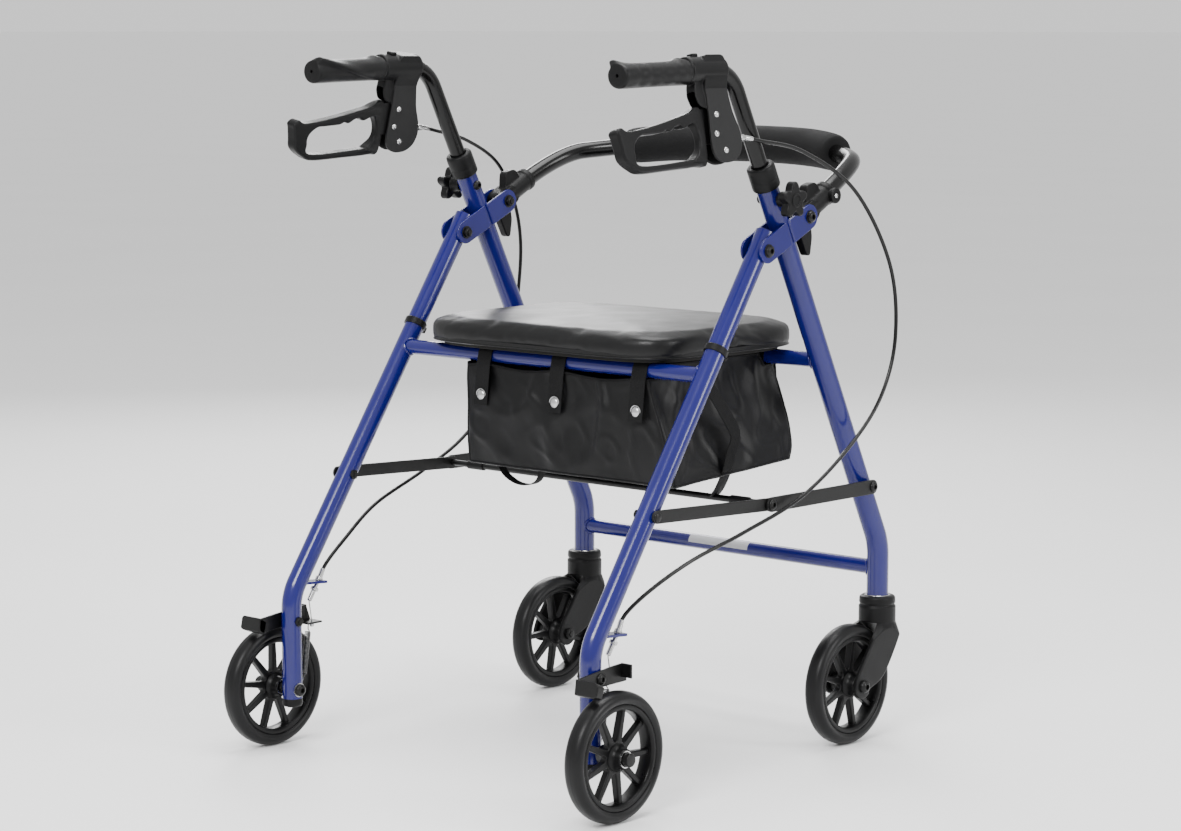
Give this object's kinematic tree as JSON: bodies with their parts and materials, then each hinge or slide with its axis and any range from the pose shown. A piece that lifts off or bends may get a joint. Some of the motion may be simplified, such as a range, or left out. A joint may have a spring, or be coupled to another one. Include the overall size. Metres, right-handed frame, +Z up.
{
  "type": "rollator walker",
  "caption": "Folding four-wheeled walker with a blue tube frame, swivelling front wheels, padded seat, padded backrest, under-seat bag and cable brakes with loop levers.",
  "frame": {"origin": "on the floor, at the middle of the walker's bounding box", "axes": "+X towards the right hand of the person walking behind it, +Y the direction of travel, +Z up"},
  "size_m": [0.626, 0.6822, 0.8629],
  "materials": {
    "blue_frame": "gloss",
    "black_steel": "satin",
    "zinc_steel": "satin",
    "black_plastic": "matte",
    "tyre": "matte",
    "black_tube": "gloss",
    "grip_rubber": "matte",
    "cable_sheath": "satin",
    "foam": "matte",
    "board": "matte",
    "vinyl": "satin",
    "nylon": "satin"
  },
  "bodies": {
    "front_frame": {"left_post": "blue_frame", "right_post": "blue_frame", "lower_front_tube": "blue_frame", "front_seat_tube": "blue_frame", "left_collar": "black_plastic", "right_collar": "black_plastic", "left_hinge_bolt": "black_steel", "right_hinge_bolt": "black_steel", "left_backrest_bolt": "black_steel", "right_backrest_bolt": "black_steel", "bag": "nylon", "left_brake_cable": "cable_sheath", "right_brake_cable": "cable_sheath"},
    "rear_frame": {"left_leg": "blue_frame", "right_leg": "blue_frame", "rear_seat_tube": "blue_frame", "left_rear_axle": "black_steel", "right_rear_axle": "black_steel", "left_brake_spring": "zinc_steel", "right_brake_spring": "zinc_steel"},
    "rear_links": {"left_rear_link": "black_steel", "right_rear_link": "black_steel", "link_rod": "zinc_steel"},
    "front_links": {"left_front_link": "black_steel", "right_front_link": "black_steel"},
    "seat": {"seat_base": "board", "seat_pad": "vinyl"},
    "backrest": {"backrest_tube": "black_tube", "backrest_pad": "foam", "left_backrest_socket": "black_plastic", "right_backrest_socket": "black_plastic"},
    "left_rear_wheel": {"left_rear_wheel_core": "black_plastic", "left_rear_wheel_tyre": "tyre"},
    "left_caster": {"left_caster_fork": "black_plastic", "left_caster_axle": "black_steel"},
    "left_caster_wheel": {"left_caster_wheel_core": "black_plastic", "left_caster_wheel_tyre": "tyre"},
    "left_brake_arm": {"left_brake_arm": "black_steel"},
    "left_handle": {"left_handle_tube": "black_tube", "left_grip": "grip_rubber", "left_brake_housing": "black_plastic"},
    "left_park_cam": {"left_park_cam": "zinc_steel"},
    "left_lever": {"left_brake_lever": "black_plastic"},
    "left_knob": {"left_height_knob": "black_plastic"},
    "right_rear_wheel": {"right_rear_wheel_core": "black_plastic", "right_rear_wheel_tyre": "tyre"},
    "right_caster": {"right_caster_fork": "black_plastic", "right_caster_axle": "black_steel"},
    "right_caster_wheel": {"right_caster_wheel_core": "black_plastic", "right_caster_wheel_tyre": "tyre"},
    "right_brake_arm": {"right_brake_arm": "black_steel"},
    "right_handle": {"right_handle_tube": "black_tube", "right_grip": "grip_rubber", "right_brake_housing": "black_plastic"},
    "right_park_cam": {"right_park_cam": "zinc_steel"},
    "right_lever": {"right_brake_lever": "black_plastic"},
    "right_knob": {"right_height_knob": "black_plastic"}
  },
  "joints": [
    {"name": "fold", "type": "hinge", "parent": "front_frame", "child": "rear_frame", "pos_m": [0, 0.0355, 0.633], "axis": [1, 0, 0], "range_deg": [0, 38], "deforming": ["bag", "left_brake_cable", "right_brake_cable"]},
    {"name": "rear_links_turn", "type": "hinge", "parent": "rear_frame", "child": "rear_links", "pos_m": [0, -0.1675, 0.3375], "axis": [1, 0, 0], "range_deg": [0, 41]},
    {"name": "front_links_turn", "type": "hinge", "parent": "front_frame", "child": "front_links", "pos_m": [0, 0.2432, 0.3265], "axis": [1, 0, 0], "range_deg": [-47.5, 0]},
    {"name": "seat_lift", "type": "hinge", "parent": "front_frame", "child": "seat", "pos_m": [0, 0.16016, 0.491], "axis": [-1, 0, 0], "range_deg": [0, 80]},
    {"name": "backrest_swing", "type": "hinge", "parent": "front_frame", "child": "backrest", "pos_m": [0, 0.1155, 0.67], "axis": [1, 0, 0], "range_deg": [0, 65]},
    {"name": "left_rear_wheel_spin", "type": "hinge", "parent": "rear_frame", "child": "left_rear_wheel", "pos_m": [-0.286, -0.2645, 0.0762], "axis": [1, 0, 0], "continuous": true},
    {"name": "left_caster_swivel", "type": "hinge", "parent": "front_frame", "child": "left_caster", "pos_m": [-0.25, 0.2825, 0.1762], "axis": [0, 0, 1], "continuous": true},
    {"name": "left_caster_spin", "type": "hinge", "parent": "left_caster", "child": "left_caster_wheel", "pos_m": [-0.25, 0.2205, 0.0762], "axis": [1, 0, 0], "continuous": true},
    {"name": "left_height", "type": "slide", "parent": "front_frame", "child": "left_handle", "axis": [0, -0.4509, 0.8926], "range_m": [0, 0.127]},
    {"name": "left_park", "type": "hinge", "parent": "left_handle", "child": "left_park_cam", "pos_m": [-0.26894, -0.06, 0.75407], "axis": [0.9799, 0, -0.1994], "range_deg": [0, 9]},
    {"name": "left_squeeze", "type": "hinge", "parent": "left_park_cam", "child": "left_lever", "pos_m": [-0.26057, -0.068, 0.79522], "axis": [-0.9799, 0, 0.1994], "range_deg": [0, 12], "stiffness_Nm_per_rad": 1, "springref_deg": -8.59},
    {"name": "left_brake_arm_turn", "type": "hinge", "parent": "rear_frame", "child": "left_brake_arm", "pos_m": [-0.25, -0.2645, 0.163], "axis": [1, 0, 0], "range_deg": [0, 3.7]},
    {"name": "left_knob_turn", "type": "hinge", "parent": "front_frame", "child": "left_knob", "pos_m": [-0.25, 0.05812, 0.693], "axis": [1, 0, 0], "continuous": true},
    {"name": "right_rear_wheel_spin", "type": "hinge", "parent": "rear_frame", "child": "right_rear_wheel", "pos_m": [0.286, -0.2645, 0.0762], "axis": [1, 0, 0], "continuous": true},
    {"name": "right_caster_swivel", "type": "hinge", "parent": "front_frame", "child": "right_caster", "pos_m": [0.25, 0.2825, 0.1762], "axis": [0, 0, 1], "continuous": true},
    {"name": "right_caster_spin", "type": "hinge", "parent": "right_caster", "child": "right_caster_wheel", "pos_m": [0.25, 0.2205, 0.0762], "axis": [1, 0, 0], "continuous": true},
    {"name": "right_height", "type": "slide", "parent": "front_frame", "child": "right_handle", "axis": [0, -0.4509, 0.8926], "range_m": [0, 0.127]},
    {"name": "right_park", "type": "hinge", "parent": "right_handle", "child": "right_park_cam", "pos_m": [0.26894, -0.06, 0.75407], "axis": [0.9799, 0, 0.1994], "range_deg": [0, 9]},
    {"name": "right_squeeze", "type": "hinge", "parent": "right_park_cam", "child": "right_lever", "pos_m": [0.26057, -0.068, 0.79522], "axis": [-0.9799, 0, -0.1994], "range_deg": [0, 12], "stiffness_Nm_per_rad": 1, "springref_deg": -8.59},
    {"name": "right_brake_arm_turn", "type": "hinge", "parent": "rear_frame", "child": "right_brake_arm", "pos_m": [0.25, -0.2645, 0.163], "axis": [1, 0, 0], "range_deg": [0, 3.7]},
    {"name": "right_knob_turn", "type": "hinge", "parent": "front_frame", "child": "right_knob", "pos_m": [0.25, 0.05812, 0.693], "axis": [1, 0, 0], "continuous": true}
  ],
  "couplings": [
    {"joint": "rear_links_turn", "follows": "fold", "ratio": 1.0771},
    {"joint": "front_links_turn", "follows": "fold", "ratio": -1.2461},
    {"joint": "left_brake_arm_turn", "follows": "left_squeeze", "ratio": 0.3},
    {"joint": "right_brake_arm_turn", "follows": "right_squeeze", "ratio": 0.3}
  ]
}
